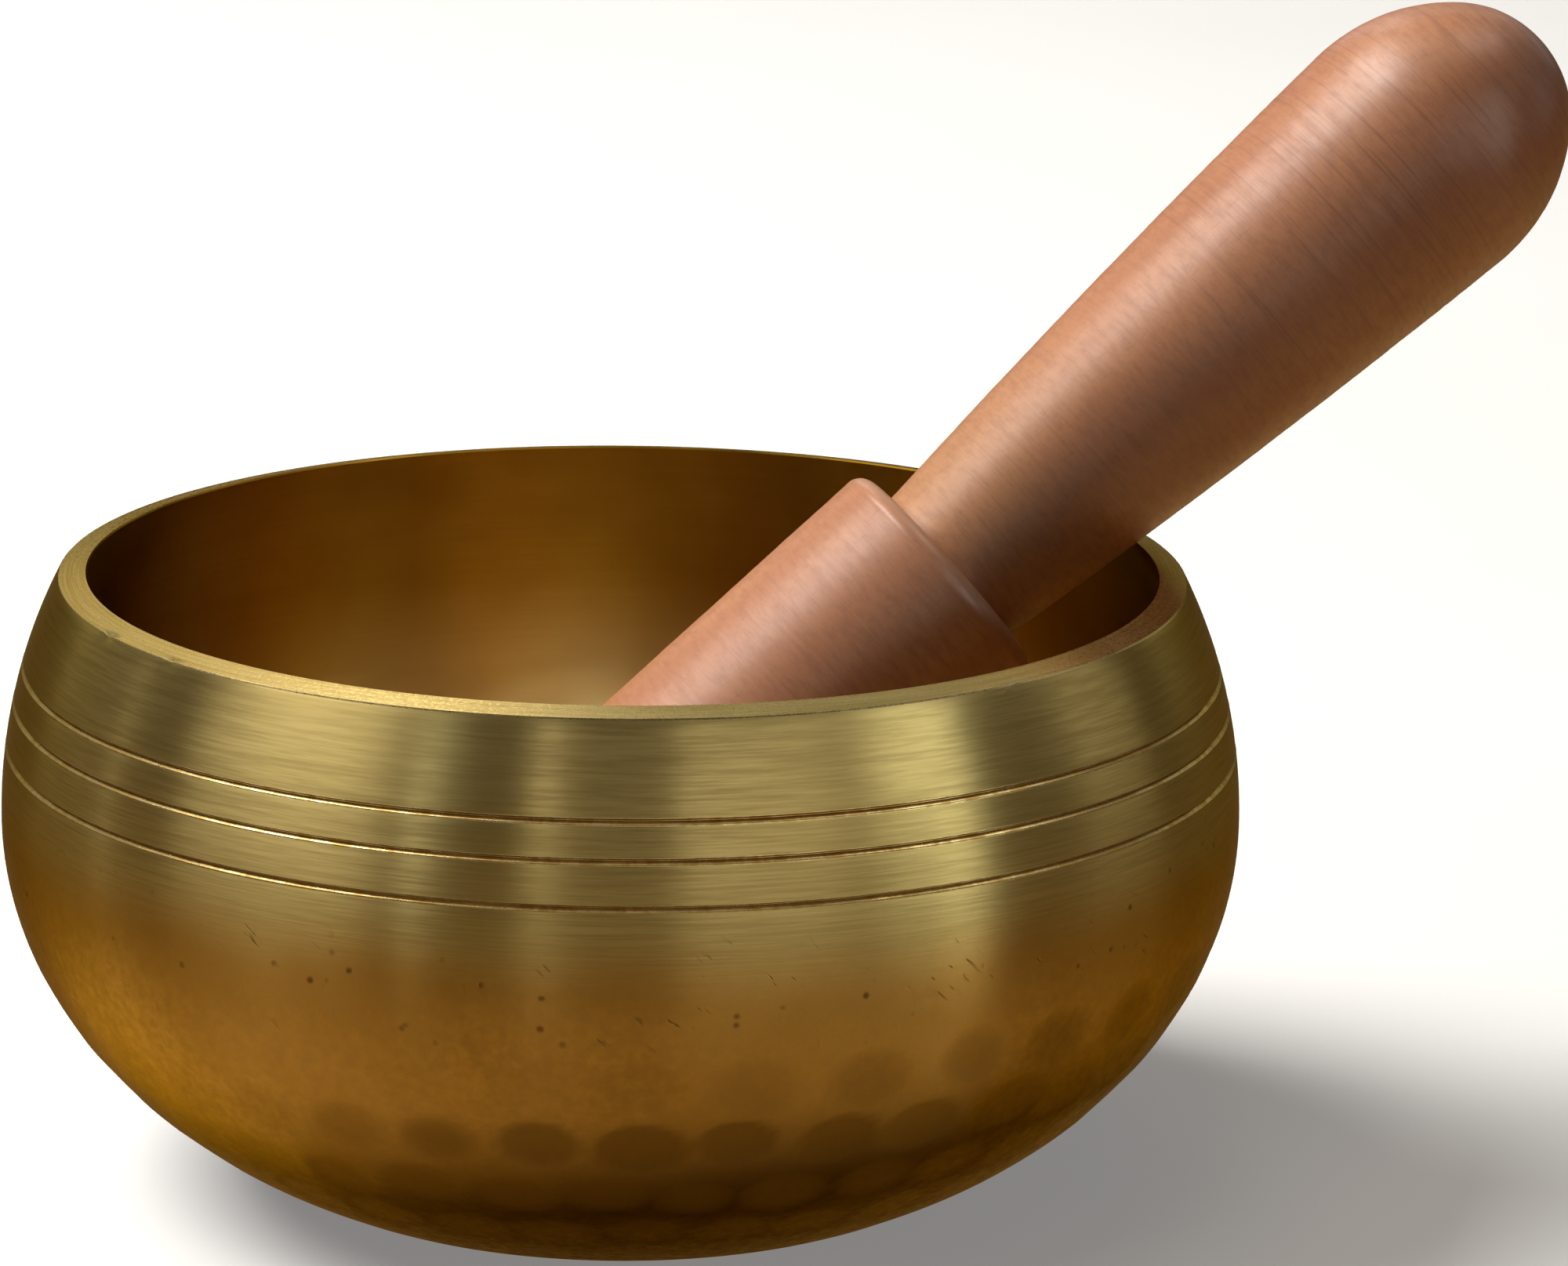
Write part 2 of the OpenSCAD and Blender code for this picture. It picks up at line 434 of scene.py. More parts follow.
def mallet_place():
    """The mallet's own frame: its Z axis runs from the head up through the handle."""
    tilt = Matrix.Rotation(math.radians(90 - LEAN), 4, "Y")
    return (Matrix.Translation((0, 0, AXIS_H * MM)) @ tilt
            @ Matrix.Translation((0, 0, AXIS_RUN * MM)))


def grip_numbers():
    """The tangent circles of the handle's outline, worked out as in the CAD source."""
    knob_x = KNOB_R - KNOB_ARC
    reach = KNOB_ARC - (HANDLE_LEN - KNOB_AT)
    shift = (knob_x ** 2 - reach ** 2) / (2 * reach)
    ball_r = HANDLE_LEN - KNOB_AT - shift
    ball_turn = math.degrees(math.atan2(shift, -knob_x))
    step = SWELL_ARC - KNOB_ARC
    neck = math.hypot(NECK_R - knob_x, KNOB_AT)
    side = (SWELL_ARC ** 2 - step ** 2 - neck ** 2) / (2 * step * neck)
    turn = math.degrees(math.atan2(KNOB_AT, NECK_R - knob_x) - math.acos(side))
    swell_x = knob_x - step * math.cos(math.radians(turn))
    swell_at = KNOB_AT + step * math.sin(math.radians(turn))
    return knob_x, KNOB_AT + shift, ball_r, ball_turn, turn, swell_x, swell_at


def handle_profile():
    """The half section of the tenon, the shoulder, the long swell and the knob."""
    knob_x, ball_at, ball_r, ball_turn, turn, swell_x, swell_at = grip_numbers()
    chamfer = 0.5
    p = Profile()
    p.add(line((0, -TENON_LEN), (TENON_R - chamfer, -TENON_LEN), 2, (0, -1)))
    p.add(line((TENON_R, -TENON_LEN + chamfer), (TENON_R, 0), 6, (1, 0)), joined=False)
    p.add(line((TENON_R + 0.6, 0), (NECK_R + 0.02, 0), 2, (0, -1)), joined=False)
    start = -math.degrees(math.asin((swell_at - 0.3) / SWELL_ARC))
    p.add(arc(swell_x, swell_at, SWELL_ARC, start, -turn, 150), joined=False)
    p.add(arc(knob_x, KNOB_AT, KNOB_ARC, -turn, ball_turn, 40))
    p.add(arc(0, ball_at, ball_r, ball_turn, 90, 34))
    return p.arrays()


def head_profile():
    """The half section of the head with its bore. Its upper face is a hair lower than
    the handle's shoulder."""
    top = (HEAD_TOP_R - HEAD_ROUND, -HEAD_ROUND)
    tip = (HEAD_TIP_R - HEAD_ROUND, HEAD_ROUND - HEAD_LEN)
    tilt = math.atan2(top[0] - tip[0], top[1] - tip[1])
    side = np.array((math.cos(tilt), -math.sin(tilt)))
    bore, bore_end = TENON_R + GLUE_GAP, -TENON_LEN - GLUE_GAP
    face, chamfer = -0.012, 0.4
    p = Profile()
    p.add(line((0, -HEAD_LEN), (tip[0] - 0.3, -HEAD_LEN), 8, (0, -1)))
    p.add(arc(*tip, HEAD_ROUND, -90, -math.degrees(tilt), 14), joined=False)
    p.add(line(tip + HEAD_ROUND * side, top + HEAD_ROUND * side, 130, side))
    p.add(arc(*top, HEAD_ROUND, -math.degrees(tilt), 84, 14))
    p.add(line((NECK_R + 0.4, face), (bore, face), 4, (0, 1)), joined=False)
    p.add(line((bore, -chamfer), (bore, bore_end), 6, (-1, 0)), joined=False)
    p.add(line((bore - chamfer, bore_end), (0, bore_end), 3, (0, 1)), joined=False)
    return p.arrays()


def turned_wobble(points, skin, rings, seed):
    """How far the wood's skin stands in or out: tool chatter along the axis, a hand's
    slight unroundness, and a few cut rings, each as (place, half width, depth)."""
    rng = np.random.default_rng(seed)
    along = points[:, 1]
    chatter = np.zeros_like(along)
    for pitch in (0.9, 1.3, 2.1, 3.7, 7.5, 13.0):
        swing = rng.uniform(0.4, 1.0) * math.sqrt(pitch) * 0.0035
        chatter += swing * np.sin(2 * math.pi * along / pitch + rng.uniform(0, 6.3))
    for at, wide, deep in rings:
        chatter -= deep * np.exp(-((along - at) / wide) ** 2)
    oval = waves(angles_round(MALLET_SEGMENTS), 2, 4, rng, 0.01)
    return np.where(skin, chatter - WOOD_MARGIN, 0)[:, None] + skin[:, None] * oval[None, :]


def make_handle():
    """The wooden grip with its knob and its tenon."""
    profile = handle_profile()
    points = profile[0]
    skin = (points[:, 1] > 0.9) & (points[:, 0] > 0.8)
    rings = [(39.6, 0.14, 0.02), (44.9, 0.16, 0.035), (45.9, 0.14, 0.02),
             (51.2, 0.16, 0.04), (52.3, 0.12, 0.02), (56.4, 0.16, 0.03)]
    obj = revolve("mallet_grip", profile, turned_wobble(points, skin, rings, SEED + 1))
    obj.data.transform(mallet_place())
    return obj


def make_head():
    """The wooden striking head with the bore for the tenon."""
    profile = head_profile()
    points = profile[0]
    skin = (points[:, 0] > HEAD_TIP_R - 0.3) & (points[:, 1] < -HEAD_ROUND)
    rings = [(-9.5, 0.12, 0.015), (-17.8, 0.14, 0.02), (-31.0, 0.14, 0.015)]
    obj = revolve("mallet_striker", profile, turned_wobble(points, skin, rings, SEED + 2))
    obj.data.transform(mallet_place())
    return obj


# ---------------------------------------------------------------- materials

class Nodes:
    """Short ways to add and link the nodes of one material or world."""

    def __init__(self, owner):
        self.owner = owner
        owner.use_nodes = True
        self.tree = owner.node_tree

    def set(self, socket, value):
        """Links the socket to an output, or gives it a plain value."""
        if isinstance(value, bpy.types.NodeSocket):
            self.tree.links.new(value, socket)
        else:
            socket.default_value = value

    def shade(self, **inputs):
        """Sets the shader's own inputs, an underscore standing for a space."""
        for key, value in inputs.items():
            self.set(self.tree.nodes["Principled BSDF"].inputs[key.replace("_", " ")], value)

    def add(self, kind, out=0, **inputs):
        """Adds a node, sets its inputs by name and gives back one of its outputs."""
        node = self.tree.nodes.new(kind)
        for key, value in inputs.items():
            self.set(node.inputs[key.replace("_", " ")], value)
        return node.outputs[out] if node.outputs else None

    def calculate(self, operation, a, b=0.0):
        node = self.tree.nodes.new("ShaderNodeMath")
        node.operation = operation
        self.set(node.inputs[0], a)
        self.set(node.inputs[1], b)
        return node.outputs[0]

    def plus(self, a, b):
        return self.calculate("ADD", a, b)

    def minus(self, a, b):
        return self.calculate("SUBTRACT", a, b)

    def times(self, a, b):
        return self.calculate("MULTIPLY", a, b)

    def ramp(self, value, low, high, to_low=0.0, to_high=1.0, shape="SMOOTHSTEP"):
        """value from low..high becomes to_low..to_high, held at the ends."""
        node = self.tree.nodes.new("ShaderNodeMapRange")
        node.interpolation_type = shape
        for key, x in zip(("Value", "From Min", "From Max", "To Min", "To Max"),
                          (value, low, high, to_low, to_high)):
            self.set(node.inputs[key], x)
        return node.outputs["Result"]

    def mix(self, share, a, b):
        node = self.tree.nodes.new("ShaderNodeMix")
        node.data_type = "RGBA"
        self.set(node.inputs["Factor"], share)
        self.set(node.inputs["A"], a)
        self.set(node.inputs["B"], b)
        return node.outputs["Result"]

    def vector(self, x, y, z):
        return self.add("ShaderNodeCombineXYZ", X=x, Y=y, Z=z)

    def noise(self, vector, scale=1.0, detail=2.0, rough=0.5):
        return self.add("ShaderNodeTexNoise", Vector=vector, Scale=scale, Detail=detail,
                        Roughness=rough)

    def bump(self, height, strength, distance):
        return self.add("ShaderNodeBump", Strength=strength, Distance=distance,
                        Height=height)

    def split(self, vector):
        node = self.tree.nodes.new("ShaderNodeSeparateXYZ")
        self.set(node.inputs[0], vector)
        return node.outputs[0], node.outputs[1], node.outputs[2]

    def coords(self):
        """Object coordinates, which on these meshes are metres in the part's frame."""
        return self.add("ShaderNodeTexCoord", out=3)

    def radius(self, x, y):
        return self.calculate("SQRT", self.plus(self.times(x, x), self.times(y, y)))

    def streaks(self, x, y, run, long_scale, fine_scale, detail=3.0):
        """Noise drawn out along the turning direction: long round the bowl, fine across."""
        vector = self.vector(self.times(x, long_scale), self.times(y, long_scale),
                             self.times(run, fine_scale))
        return self.noise(vector, 1.0, detail, 0.6)

    def round_z(self):
        """The direction of turning, along which brushed metal has its grain."""
        node = self.tree.nodes.new("ShaderNodeTangent")
        node.direction_type, node.axis = "RADIAL", "Z"
        return node.outputs[0]

    def mask(self, name):
        """A mask that set_masks stored on the vertices."""
        node = self.tree.nodes.new("ShaderNodeAttribute")
        node.attribute_name = name
        return node.outputs["Fac"]


def material_nodes(name):
    """A new material, ready for its nodes."""
    return Nodes(bpy.data.materials.new(name))


def rgb(r, g, b):
    return (r, g, b, 1.0)


EDGE_TINT = rgb(0.80, 0.62, 0.33)  # brass seen at a grazing angle
PAINTED_SHADOW_SIDE = (0.97, -0.25)  # the horizontal direction in which the painted shadow at the foot climbs


def lower_wall_with_painted_shade(n, x, y, z, cloud, speckle):
    """Colour of the smooth lower wall: orange-brown, partly the metal's own tone and partly a
    painted reflection of a brown table top. Painted shade makes it almost black towards the
    foot, higher on one side as a painted shadow, and dark in the hammer marks."""
    # orange-brown: the metal's own tone, and partly a painted reflection of a brown table top
    colour = n.mix(n.ramp(cloud, 0.3, 0.7), rgb(0.45, 0.255, 0.058), rgb(0.53, 0.315, 0.082))
    colour = n.mix(n.ramp(speckle, 0.3, 0.75, 0.0, 0.3), colour, rgb(0.38, 0.20, 0.040))
    # painted shadow: darker towards the foot, and higher up on the side where the bowl's own
    # shadow falls
    side = n.plus(n.times(x, PAINTED_SHADOW_SIDE[0]), n.times(y, PAINTED_SHADOW_SIDE[1]))
    height = n.minus(z, n.ramp(side, -0.035, 0.050, -0.0005, 0.0072))
    dark = n.ramp(height, 0.0068, 0.0210, 0.97, 0.0)
    colour = n.mix(dark, colour, rgb(0.026, 0.009, 0.002))
    # painted shade in the hammer marks, deeper marks darker
    return n.mix(n.times(n.mask("dent"), 0.58), colour, rgb(0.15, 0.08, 0.016))


def belly_pits(n, coords, x, y, z):
    """Small pits and scratches along the belly, where the brushing stops."""
    holes = n.add("ShaderNodeTexVoronoi", Vector=coords, Scale=420.0)
    holes = n.times(n.ramp(holes, 0.06, 0.20, 1.0, 0.0),
                    n.ramp(n.noise(coords, 160, 2), 0.47, 0.54))
    slanted = n.vector(n.times(n.plus(x, z), 1500.0), n.times(y, 300.0),
                       n.times(n.minus(z, x), 240.0))
    scratches = n.times(n.ramp(n.noise(slanted), 0.665, 0.725),
                        n.ramp(n.noise(coords, 110, 2), 0.50, 0.62))
    band = n.times(n.ramp(z, 0.026, 0.031), n.ramp(z, 0.034, 0.040, 1.0, 0.0))
    return n.times(n.calculate("MAXIMUM", holes, scratches), band)


def brass_outside():
    """The outer wall: lathe-brushed above the belly, smooth and orange-brown below it."""
    n = material_nodes("brass_outside")
    coords = n.coords()
    x, y, z = n.split(coords)
    run = n.plus(z, n.radius(x, y))
    cloud = n.noise(coords, 55, 3)
    speckle = n.noise(coords, 900, 4, 0.7)
    wavy = n.plus(z, n.times(n.minus(cloud, 0.5), 0.006))
    turned = n.ramp(wavy, 0.0318, 0.0362)

    brushed = n.plus(n.times(n.streaks(x, y, run, 150, 6500, 4), 0.65),
                     n.times(n.streaks(x, y, run, 45, 2600, 3), 0.35))
    bright = n.mix(n.ramp(brushed, 0.35, 0.65), rgb(0.43, 0.325, 0.118),
                   rgb(0.60, 0.460, 0.178))
    bright = n.mix(n.ramp(cloud, 0.35, 0.7, 0.0, 0.6), bright, rgb(0.49, 0.37, 0.130))
    colour = n.mix(n.ramp(wavy, 0.0320, 0.0395), lower_wall_with_painted_shade(n, x, y, z, cloud, speckle), bright)
    pits = belly_pits(n, coords, x, y, z)
    colour = n.mix(n.times(pits, 0.75), colour, rgb(0.10, 0.05, 0.012))
    # painted shade along the groove bottoms
    colour = n.mix(n.times(n.mask("groove_shade"), 0.25), colour, rgb(0.20, 0.11, 0.025))

    rough = n.plus(n.times(turned, n.ramp(brushed, 0.3, 0.7, 0.36, 0.31)),
                   n.times(n.minus(1.0, turned), n.ramp(speckle, 0.3, 0.7, 0.27, 0.35)))
    relief = n.plus(n.times(n.times(brushed, turned), 0.9), n.times(speckle, 0.15))
    relief = n.minus(relief, pits)
    n.shade(Base_Color=colour, Roughness=rough, Normal=n.bump(relief, 0.4, 0.00005),
            Metallic=1.0, Anisotropic=0.97, Anisotropic_Rotation=0.25,
            Tangent=n.round_z(), Specular_Tint=EDGE_TINT)
    return n.owner


def brass_groove():
    """The cut faces of the grooves: bare bright metal broken up by dirt, with painted shade
    along their bottoms.
    """
    n = material_nodes("brass_groove")
    dirt = n.noise(n.coords(), 700, 4, 0.7)
    colour = n.mix(n.ramp(dirt, 0.42, 0.62), rgb(0.64, 0.50, 0.23), rgb(0.50, 0.34, 0.11))
    # painted shade along the groove bottoms
    colour = n.mix(n.times(n.mask("groove_shade"), 0.35), colour, rgb(0.16, 0.09, 0.02))
    n.shade(Base_Color=colour, Roughness=n.ramp(dirt, 0.3, 0.7, 0.24, 0.38),
            Normal=n.bump(dirt, 0.3, 0.00004), Metallic=1.0, Specular_Tint=EDGE_TINT)
    return n.owner


def brass_rim():
    """The sloping top of the wall: cut on the lathe, with bright fine rings and wear."""
    n = material_nodes("brass_rim")
    coords = n.coords()
    x, y, _ = n.split(coords)
    rings = n.streaks(x, y, n.radius(x, y), 60, 7000, 3)
    sparkle = n.noise(coords, 2600, 3, 0.8)
    colour = n.mix(n.ramp(rings, 0.35, 0.65), rgb(0.46, 0.34, 0.140), rgb(0.62, 0.49, 0.23))
    colour = n.mix(n.ramp(n.noise(coords, 70, 2), 0.45, 0.7, 0.0, 0.4), colour,
                   rgb(0.42, 0.29, 0.11))
    relief = n.plus(rings, n.times(sparkle, 0.2))
    n.shade(Base_Color=colour, Roughness=n.ramp(sparkle, 0.3, 0.7, 0.24, 0.36),
            Normal=n.bump(relief, 0.25, 0.00003), Metallic=1.0,
            Specular_Tint=EDGE_TINT)
    return n.owner


def brass_inside():
    """The inside: gold-brown with faint turning marks, and paler on the floor and the lower
    wall, where the scraper left its swirls. That pale gold is partly a painted reflection of
    light."""
    n = material_nodes("brass_inside")
    coords = n.coords()
    x, y, z = n.split(coords)
    fine = n.streaks(x, y, n.plus(z, n.radius(x, y)), 30, 2600, 3)
    cloud = n.noise(coords, 45, 4, 0.6)
    colour = n.mix(n.ramp(cloud, 0.3, 0.72), rgb(0.35, 0.180, 0.014), rgb(0.44, 0.240, 0.024))
    colour = n.mix(n.ramp(fine, 0.35, 0.7, 0.0, 0.3), colour, rgb(0.33, 0.18, 0.018))
    # partly painted reflection: the floor and lower wall under the scraper's swirls are
    # painted pale gold
    scraped_and_painted_reflection = n.times(n.ramp(z, 0.024, 0.044, 0.95, 0.0),
                      n.ramp(n.mask("scrape"), 0.30, 0.70, 0.62, 1.0))
    colour = n.mix(scraped_and_painted_reflection, colour, rgb(0.72, 0.57, 0.25))
    relief = n.plus(n.times(fine, 0.6), n.noise(coords, 600, 3, 0.7))
    n.shade(Base_Color=colour, Roughness=n.ramp(cloud, 0.3, 0.7, 0.30, 0.38),
            Normal=n.bump(relief, 0.15, 0.00005), Metallic=1.0, Anisotropic=0.92,
            Anisotropic_Rotation=0.25, Tangent=n.round_z(), Specular_Tint=EDGE_TINT)
    return n.owner


def brass_foot():
    """The foot underneath: dull, with turning rings and dark scuffs."""
    n = material_nodes("brass_foot")
    coords = n.coords()
    x, y, _ = n.split(coords)
    rings = n.streaks(x, y, n.radius(x, y), 25, 2200, 3)
    scuff = n.noise(coords, 300, 4, 0.7)
    colour = n.mix(n.ramp(rings, 0.35, 0.65), rgb(0.24, 0.14, 0.03), rgb(0.38, 0.24, 0.06))
    colour = n.mix(n.ramp(scuff, 0.5, 0.7, 0.0, 0.7), colour, rgb(0.12, 0.06, 0.014))
    n.shade(Base_Color=colour, Roughness=n.ramp(scuff, 0.3, 0.7, 0.36, 0.52),
            Normal=n.bump(n.plus(rings, scuff), 0.4, 0.00008), Metallic=1.0)
    return n.owner


def along_mallet(n):
    """Position across the mallet, x and y, and along its axis from where it crosses the
    bowl's, all in metres."""
    mapping = n.tree.nodes.new("ShaderNodeMapping")
    mapping.vector_type = "TEXTURE"
    n.set(mapping.inputs["Vector"], n.coords())
    mapping.inputs["Location"].default_value = (0, 0, AXIS_H * MM)
    mapping.inputs["Rotation"].default_value = (0, math.radians(90 - LEAN), 0)
    return n.split(mapping.outputs[0])


def wood(name, light, middle, dark, offset):
    """Satin hardwood turned on a lathe: figure along the axis and fine marks across it. It is
    paler at the handle's neck, and a pale band along the rounded edge at the head's upper end
    is a painted highlight. offset shifts the figure along, so that two pieces differ."""
    n = material_nodes(name)
    x, y, along = along_mallet(n)
    shifted = n.plus(along, offset)
    head_end = AXIS_RUN * MM

    def stretched(across, length, detail=3.0, rough=0.55):
        """Noise of one scale across the mallet and another along it."""
        vector = n.vector(n.times(x, across), n.times(y, across), n.times(shifted, length))
        return n.noise(vector, 1.0, detail, rough)

    figure = stretched(90, 26)
    mottle = stretched(520, 1500, 3, 0.6)
    rings = stretched(50, 2600, 3, 0.6)
    pores = stretched(2600, 700, 2, 0.5)
    colour = n.mix(n.ramp(figure, 0.32, 0.68), middle, light)
    neck = n.times(n.ramp(along, head_end, head_end + 0.030, 0.55, 0.0),
                   n.ramp(along, head_end, head_end + 0.00005))
    colour = n.mix(neck, colour, rgb(0.56, 0.285, 0.120))
    colour = n.mix(n.ramp(mottle, 0.38, 0.72, 0.0, 0.26), colour, dark)
    towards_knob = n.ramp(along, head_end + 0.028, head_end + 0.044, 0.35, 1.0)
    colour = n.mix(n.times(n.ramp(rings, 0.50, 0.72, 0.0, 0.40), towards_knob), colour, dark)
    colour = n.mix(n.ramp(pores, 0.60, 0.72, 0.0, 0.14), colour, dark)
    # painted highlight: a pale band along the rounded edge at the head's upper end
    edge = n.times(n.ramp(along, head_end - 0.0013, head_end - 0.0004),
                   n.ramp(along, head_end - 0.00001, head_end + 0.00002, 1.0, 0.0))
    colour = n.mix(n.times(edge, 0.5), colour, rgb(0.66, 0.36, 0.20))
    relief = n.plus(n.times(n.times(rings, towards_knob), 0.8), n.times(mottle, 0.5))
    n.shade(Base_Color=colour, Roughness=n.ramp(mottle, 0.3, 0.7, 0.40, 0.48),
            Normal=n.bump(relief, 0.5, 0.00008), Specular_IOR_Level=0.5,
            Coat_Weight=0.35, Coat_Roughness=0.3)
    return n.owner


def floor_material():
    """A pale matt floor that glows a little, so that it stays nearly white."""
    n = material_nodes("studio_floor")
    tone = n.mix(n.ramp(n.noise(n.coords(), 6, 2), 0.3, 0.7), rgb(0.85, 0.845, 0.835),
                 rgb(0.88, 0.875, 0.865))
    n.shade(Base_Color=tone, Roughness=1.0, Specular_IOR_Level=0.0,
            Emission_Color=rgb(*OFF_WHITE), Emission_Strength=0.22)
    return n.owner


# ---------------------------------------------------------------- studio

LIGHT_OUT = 1.5  # how far the lights stand from the bowl, in metres
TARGET_UP = 0.05  # the height that the overhead lights face
ENERGY_SHARE = 4.0  # an area light's energy, for each square metre and unit of radiance
FLOOR_REACH = 4.0  # half the side of the floor

OFF_WHITE = (1.0, 0.995, 0.985)
NEUTRAL, COOL = (1.0, 0.98, 0.94), (0.90, 0.97, 1.0)

# Softboxes for the brass to reflect: name, azimuth from and to, elevation from and to,
# radiance and colour
SOFTBOXES = (
    ("front_box", -13, 11, 3, 42, 0.16, NEUTRAL),
    ("right_box", 11, 40, 3, 42, 0.80, NEUTRAL),
    ("right_box_middle", 40, 50, 3, 42, 0.45, NEUTRAL),
    ("right_box_edge", 50, 59, 8, 42, 1.4, (0.95, 1.0, 0.98)),
    ("right_box_end", 59, 68, -4, 42, 1.75, (0.93, 1.0, 1.0)),
    ("left_box", -88, -46, 5, 46, 0.72, NEUTRAL),
    ("left_box_middle", -70, -52, 5, 46, 0.18, NEUTRAL),
    ("far_left_box", -134, -108, -6, 45, 0.10, NEUTRAL),
    ("far_left_strip", -108, -105, -6, 45, 0.5, NEUTRAL),
    ("left_strip", -39.4, -35.8, 3, 46, 1.5, COOL),
    ("near_strip", -17, -12.5, 3, 46, 1.05, NEUTRAL),
    ("far_right_box", 94, 114, 5, 42, 0.40, NEUTRAL),
    ("left_table", -150, -108, -56, -25, 0.30, (1.0, 0.96, 0.98)),
    ("back_box", 130, 230, 14, 50, 0.30, COOL),
    ("rim_box", 184, 193, 35, 46, 2.9, NEUTRAL),
    ("rim_box_low", 184, 193, 15, 35, 0.8, NEUTRAL))

# A small light just above the mouth, near its front: azimuth, distance from the axis, height
MOUTH_AZIMUTH, MOUTH_OUT, MOUTH_UP = 10, 0.040, 0.062
# The place on the bowl's floor that it faces, beyond the axis
GLOW_OUT, GLOW_UP = -0.025, 0.003


def camera_azimuth():
    """Direction from the bowl to the viewer, in degrees anticlockwise from +X. The camera
    stands there and looks a little to one side of the bowl's axis."""
    return -90.0 - MALLET_TURN


def make_camera():
    """A camera with a long lens, turned by its pitch, yaw and roll from a level view."""
    pitch, yaw, roll = (math.radians(v) for v in (CAMERA_PITCH, CAMERA_YAW, CAMERA_ROLL))
    ahead = Vector((math.sin(yaw) * math.cos(pitch), math.cos(yaw) * math.cos(pitch),
                    -math.sin(pitch)))
    right = Vector((math.cos(yaw), -math.sin(yaw), 0))
    up = right.cross(ahead)
    right, up = (right * math.cos(roll) + up * math.sin(roll),
                 up * math.cos(roll) - right * math.sin(roll))
    turn = Matrix.Rotation(math.radians(-MALLET_TURN), 3, "Z")
    place = turn @ Vector((0, -CAMERA_OUT * MM, CAMERA_UP * MM))
    axes = [turn @ v for v in (right, up, -ahead)]
    data = bpy.data.cameras.new("camera")
    data.sensor_width, data.lens = SENSOR, CAMERA_LENS
    data.clip_start, data.clip_end = 0.01, 50
    camera = bpy.data.objects.new("camera", data)
    bpy.context.scene.collection.objects.link(camera)
    rows = [[axes[c][r] for c in range(3)] + [place[r]] for r in range(3)] + [[0, 0, 0, 1]]
    camera.matrix_world = Matrix(rows)
    bpy.context.scene.camera = camera


def area_light(name, place, target, width, height, radiance, colour):
    """A rectangular light that faces the target and that the camera doesn't see."""
    data = bpy.data.lights.new(name, "AREA")
    data.shape, data.size, data.size_y = "RECTANGLE", width, height
    data.energy = ENERGY_SHARE * width * height * radiance
    data.color = colour
    light = bpy.data.objects.new(name, data)
    bpy.context.scene.collection.objects.link(light)
    light.location = place
    light.rotation_euler = (Vector(target) - Vector(place)).to_track_quat("-Z", "Y").to_euler()
    light.visible_camera = False
    return light


def softbox(name, start, end, low, high, radiance, colour):
    """An upright softbox that only glossy reflections show. From the bowl it is seen
    between two azimuths, in degrees to the viewer's right of the camera, and between
    two elevations."""
    middle = math.radians(camera_azimuth() + (start + end) / 2)
    out = Vector((math.cos(middle), math.sin(middle), 0)) * LIGHT_OUT
    width = 2 * LIGHT_OUT * math.tan(math.radians(end - start) / 2)
    bottom, top = (LIGHT_OUT * math.tan(math.radians(e)) for e in (low, high))
    place = out + Vector((0, 0, (bottom + top) / 2))
    light = area_light(name, place, (0, 0, place.z), width, top - bottom, radiance, colour)
    light.visible_diffuse = False
    return light


def overhead(name, azimuth, elevation, size, radiance, colour, diffuse=True, glossy=True):
    """A square light facing the bowl from an azimuth and elevation, as for softbox."""
    a, e = math.radians(camera_azimuth() + azimuth), math.radians(elevation)
    place = Vector((math.cos(a) * math.cos(e), math.sin(a) * math.cos(e), math.sin(e)))
    light = area_light(name, place * LIGHT_OUT, (0, 0, TARGET_UP), size, size, radiance,
                       colour)
    light.visible_diffuse, light.visible_glossy = diffuse, glossy
    return light


def only_on(light, pieces):
    """Lets a light fall on the given pieces only."""
    group = bpy.data.collections.new(light.name + "_pieces")
    for piece in pieces:
        group.objects.link(piece)
    light.light_linking.receiver_collection = group


def make_mouth_light(bowl):
    """The small light that shines down into the hollow, and on the bowl only."""
    turn = math.radians(camera_azimuth() + MOUTH_AZIMUTH)
    place, target = ((out * math.cos(turn), out * math.sin(turn), up)
                     for out, up in ((MOUTH_OUT, MOUTH_UP), (GLOW_OUT, GLOW_UP)))
    glow = area_light("glow_light", place, target, 0.018, 0.012, 6.0, NEUTRAL)
    glow.visible_diffuse = False
    only_on(glow, [bowl])


def make_lights(bowl, mallet):
    """The studio's lights. Three of them fall on the mallet's pieces only."""
    for box in SOFTBOXES:
        softbox(*box)
    overhead("key_light", -105, 50, 0.9, 9.5, NEUTRAL, glossy=False)
    overhead("top_light", -40, 80, 0.8, 0.75, (1.0, 0.84, 0.70), glossy=False)
    overhead("ceiling_light", 180, 83, 0.9, 0.3, NEUTRAL, diffuse=False)
    overhead("groove_light", -120, 61, 0.50, 8.0, NEUTRAL, diffuse=False)
    overhead("right_groove_light", 120, 61, 0.50, 2.0, NEUTRAL, diffuse=False)
    sheen = overhead("sheen_light", -74, 42, 0.50, 2.2, NEUTRAL, diffuse=False)
    knob = overhead("knob_light", -75, 66, 0.45, 9.0, COOL, diffuse=False)
    bounce = softbox("table_bounce", 20, 100, -40, -8, 0.24, (1.0, 0.60, 0.34))
    bounce.visible_diffuse = True
    for light in (sheen, knob, bounce):
        only_on(light, mallet)
    make_mouth_light(bowl)


WORLD_STOPS = (  # height of the direction, from -1 straight down to 1 straight up
    (-1.0, (0.31, 0.20, 0.075)), (-0.8, (0.53, 0.36, 0.145)), (-0.6, (0.57, 0.39, 0.165)),
    (-0.4, (0.34, 0.23, 0.090)), (-0.2, (0.15, 0.10, 0.045)), (-0.05, (0.10, 0.072, 0.040)),
    (0.05, (0.08, 0.068, 0.048)), (1.0, (0.09, 0.083, 0.068)))


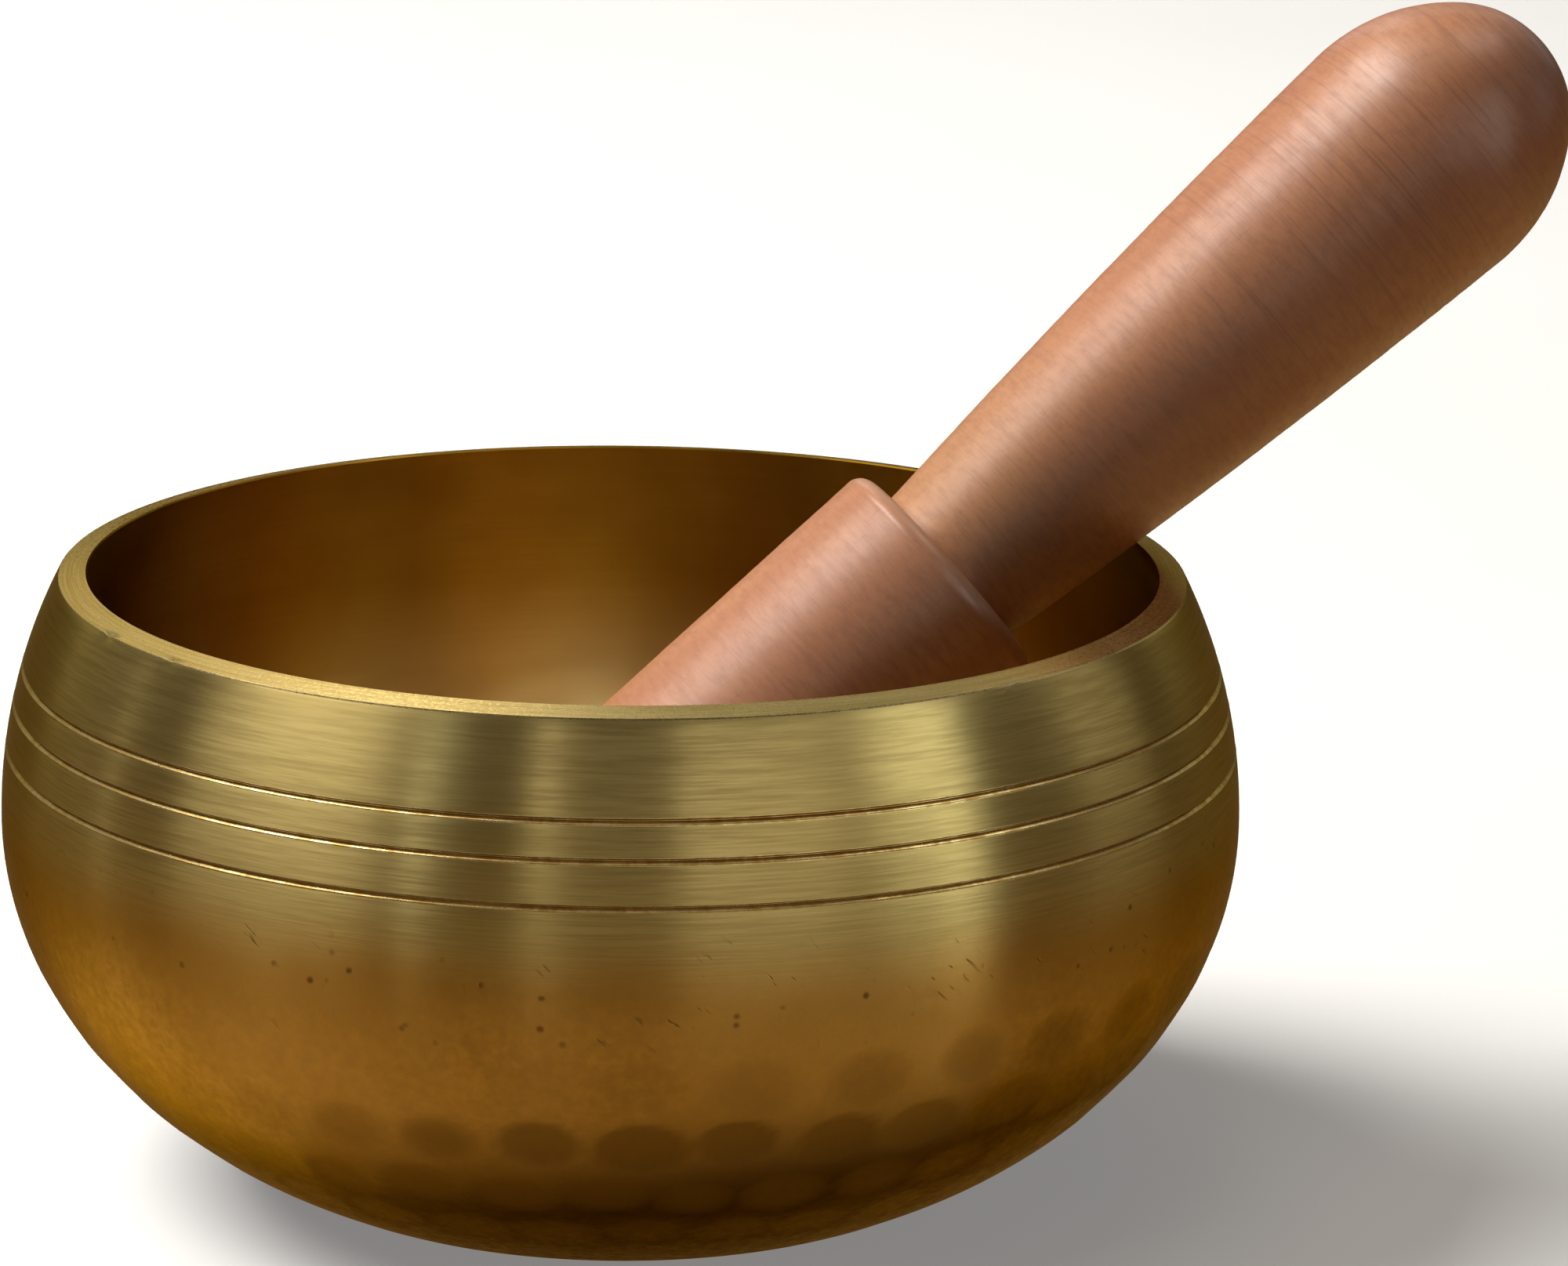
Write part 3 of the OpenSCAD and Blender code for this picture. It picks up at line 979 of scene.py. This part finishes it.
def room_colour(n, height):
    """The colours of WORLD_STOPS by the height of the direction looked in."""
    room = n.tree.nodes.new("ShaderNodeValToRGB")
    n.set(room.inputs[0], n.ramp(height, -1.0, 1.0, shape="LINEAR"))
    bar = room.color_ramp.elements
    while len(bar) < len(WORLD_STOPS):
        bar.new(0.5)
    for element, (stop, colour) in zip(bar, WORLD_STOPS):
        element.position, element.color = (stop + 1) / 2, rgb(*colour)
    return room.outputs[0]


def room_strength(n, direction, height, diffuse_ray):
    """The table top below the horizon darkens to the viewer's right, and the whole room
    lights the matt surfaces at half strength."""
    side = n.tree.nodes.new("ShaderNodeVectorMath")
    side.operation = "DOT_PRODUCT"
    turn = math.radians(-MALLET_TURN)
    side.inputs[1].default_value = (math.cos(turn), math.sin(turn), 0)
    n.set(side.inputs[0], direction)
    blend = n.tree.nodes.new("ShaderNodeMix")
    n.set(blend.inputs["Factor"], n.ramp(height, -0.35, 0.0, shape="LINEAR"))
    n.set(blend.inputs["A"], n.ramp(side.outputs["Value"], -0.75, 0.65, 1.12, 0.85, "LINEAR"))
    blend.inputs["B"].default_value = 1.0
    return n.times(blend.outputs["Result"], n.ramp(diffuse_ray, 0.0, 1.0, 1.0, 0.5, "LINEAR"))


def make_world():
    """White where the camera sees it. The brass reflects a dim room above the horizon,
    and below it a brown table top."""
    world = bpy.data.worlds.new("studio")
    bpy.context.scene.world = world
    n = Nodes(world)
    n.tree.nodes.clear()
    direction = n.add("ShaderNodeTexCoord")
    height = n.split(direction)[2]
    path = n.tree.nodes.new("ShaderNodeLightPath").outputs
    strength = room_strength(n, direction, height, path["Is Diffuse Ray"])
    reflected = n.add("ShaderNodeBackground", Color=room_colour(n, height),
                      Strength=strength)
    seen = n.add("ShaderNodeBackground", Color=rgb(*OFF_WHITE))
    mix = n.tree.nodes.new("ShaderNodeMixShader")
    for socket, value in zip(mix.inputs, (path["Is Camera Ray"], reflected, seen)):
        n.set(socket, value)
    n.add("ShaderNodeOutputWorld", Surface=mix.outputs[0])


def make_floor():
    """The pale floor. The bowl reflects the world's table top in its place."""
    mesh = bpy.data.meshes.new("floor")
    corners = [(x * FLOOR_REACH, y * FLOOR_REACH, 0)
               for x, y in ((-1, -1), (1, -1), (1, 1), (-1, 1))]
    mesh.from_pydata(corners, [], [(0, 1, 2, 3)])
    floor = bpy.data.objects.new("floor", mesh)
    bpy.context.scene.collection.objects.link(floor)
    mesh.materials.append(floor_material())
    floor.visible_glossy = floor.visible_diffuse = floor.visible_shadow = False


# ---------------------------------------------------------------- scene

make_camera()
make_world()
make_floor()

bowl = make_bowl()
outside = brass_outside()
assign(bowl, {FOOT: brass_foot(), HAMMERED: outside, TURNED: outside, GROOVE: brass_groove(),
              RIM: brass_rim(), INSIDE: brass_inside()})
handle = make_handle()
assign(handle, {0: wood("handle_wood", rgb(0.57, 0.240, 0.108), rgb(0.47, 0.170, 0.066),
                        rgb(0.22, 0.064, 0.020), 0.0)})
head = make_head()
assign(head, {0: wood("head_wood", rgb(0.60, 0.265, 0.125), rgb(0.50, 0.195, 0.085),
                      rgb(0.25, 0.075, 0.026), 0.37)})
for piece, body, node, slot in ((bowl, "bowl", "bowl", "brass"),
                                (handle, "mallet", "mallet_handle", "handle_wood"),
                                (head, "mallet", "mallet_head", "head_wood")):
    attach(piece, body)
    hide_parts(node)

make_lights(bowl, [handle, head])

bpy.context.scene.view_settings.view_transform = "Standard"
